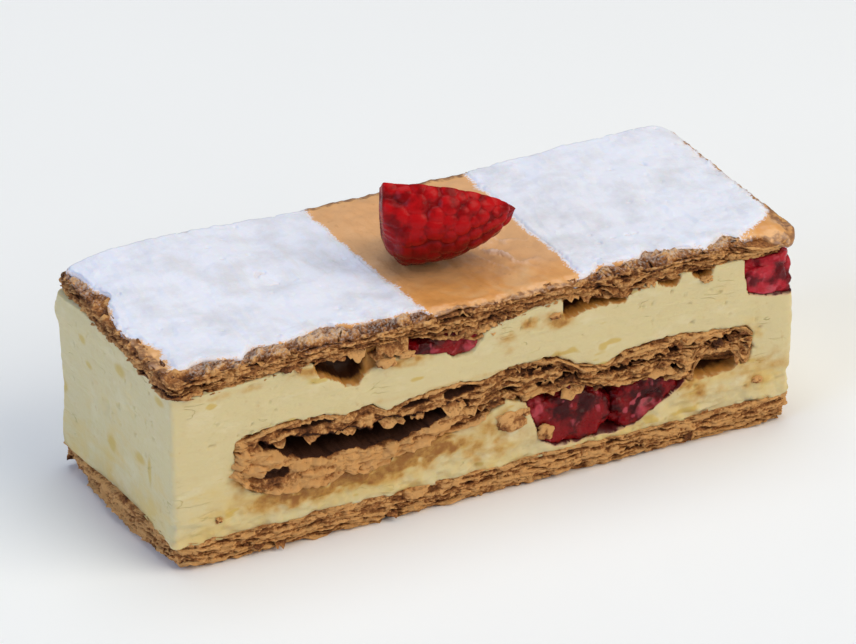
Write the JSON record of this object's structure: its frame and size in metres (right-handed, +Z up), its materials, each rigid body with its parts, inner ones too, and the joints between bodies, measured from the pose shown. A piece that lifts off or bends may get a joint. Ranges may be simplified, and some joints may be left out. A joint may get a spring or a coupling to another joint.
{
  "type": "mille feuille slice",
  "caption": "Oblong slice of layered puff pastry and set custard cream with crushed raspberries, sugared top and a half raspberry.",
  "frame": {"origin": "middle of the slice's footprint, on the surface it stands on", "axes": "+X along the slice, +Z up, -Y towards the cut side that shows the fruit"},
  "size_m": [0.1218, 0.0458, 0.0556],
  "materials": {
    "pastry": "baked, dry and flaky",
    "glazed_pastry": "baked, glazed and part dusted with sugar",
    "cream": "set custard, soft sheen",
    "raspberry": "fresh fruit, moist gloss",
    "icing_sugar": "dry powder"
  },
  "bodies": {
    "root": {"pastry_bottom": "pastry", "cream": "cream", "pastry_middle": "pastry", "pastry_top": "glazed_pastry", "raspberry_corner": "raspberry", "raspberry_upper": "raspberry", "raspberry_lower_left": "raspberry", "raspberry_lower_right": "raspberry", "raspberry_half": "raspberry"}
  },
  "joints": []
}
